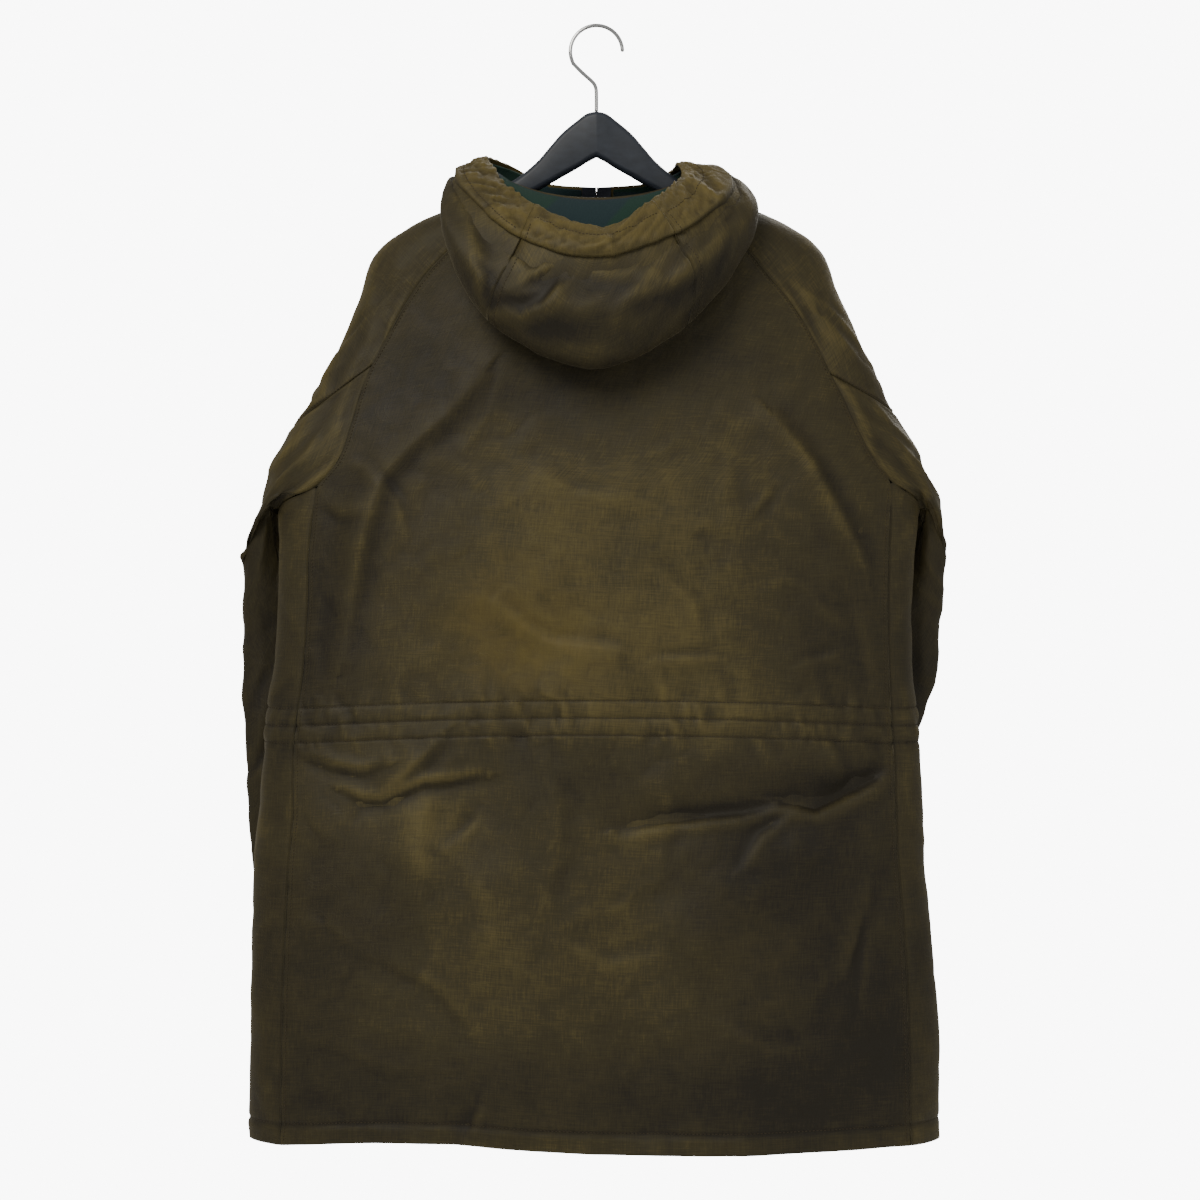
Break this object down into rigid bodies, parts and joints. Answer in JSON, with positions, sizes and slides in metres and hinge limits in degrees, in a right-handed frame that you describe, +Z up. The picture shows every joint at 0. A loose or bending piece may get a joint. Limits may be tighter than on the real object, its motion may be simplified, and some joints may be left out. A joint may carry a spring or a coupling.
{
  "type": "waxed cotton jacket on a hanger",
  "caption": "Hooded waxed cotton jacket with raglan sleeves and a waist channel, zipped shut, on a black coat hanger with a wire hook.",
  "frame": {"origin": "inside of the crown of the hanger's hook, where it rests on a rail", "axes": "+Z up, +Y towards the jacket's front, +X towards the wearer's right; the back faces -Y"},
  "size_m": [0.677, 0.2767, 1.0586],
  "materials": {
    "waxed_cotton": "waxed, soft sheen",
    "lining": "brushed",
    "tape": "woven",
    "brass_zip": "satin",
    "hanger": "matte",
    "hook": "polished"
  },
  "bodies": {
    "jacket": {"back": "waxed_cotton", "front_left": "waxed_cotton", "front_right": "waxed_cotton", "shoulder_left": "waxed_cotton", "shoulder_right": "waxed_cotton", "sleeve_left": "waxed_cotton", "sleeve_right": "waxed_cotton", "hood_left": "waxed_cotton", "hood_centre": "waxed_cotton", "hood_right": "waxed_cotton", "hood_lining": "lining", "zip_tape_left": "tape", "zip_tape_right": "tape", "zip_teeth": "brass_zip", "zip_slider": "brass_zip", "hanger_body": "hanger", "hanger_hook": "hook"},
    "pull": {"zip_pull": "brass_zip"}
  },
  "joints": [
    {"name": "zip_pull_hinge", "type": "hinge", "parent": "jacket", "child": "pull", "pos_m": [0, 0.06358, -0.156], "axis": [1, 0, 0], "range_deg": [0, 150]}
  ]
}
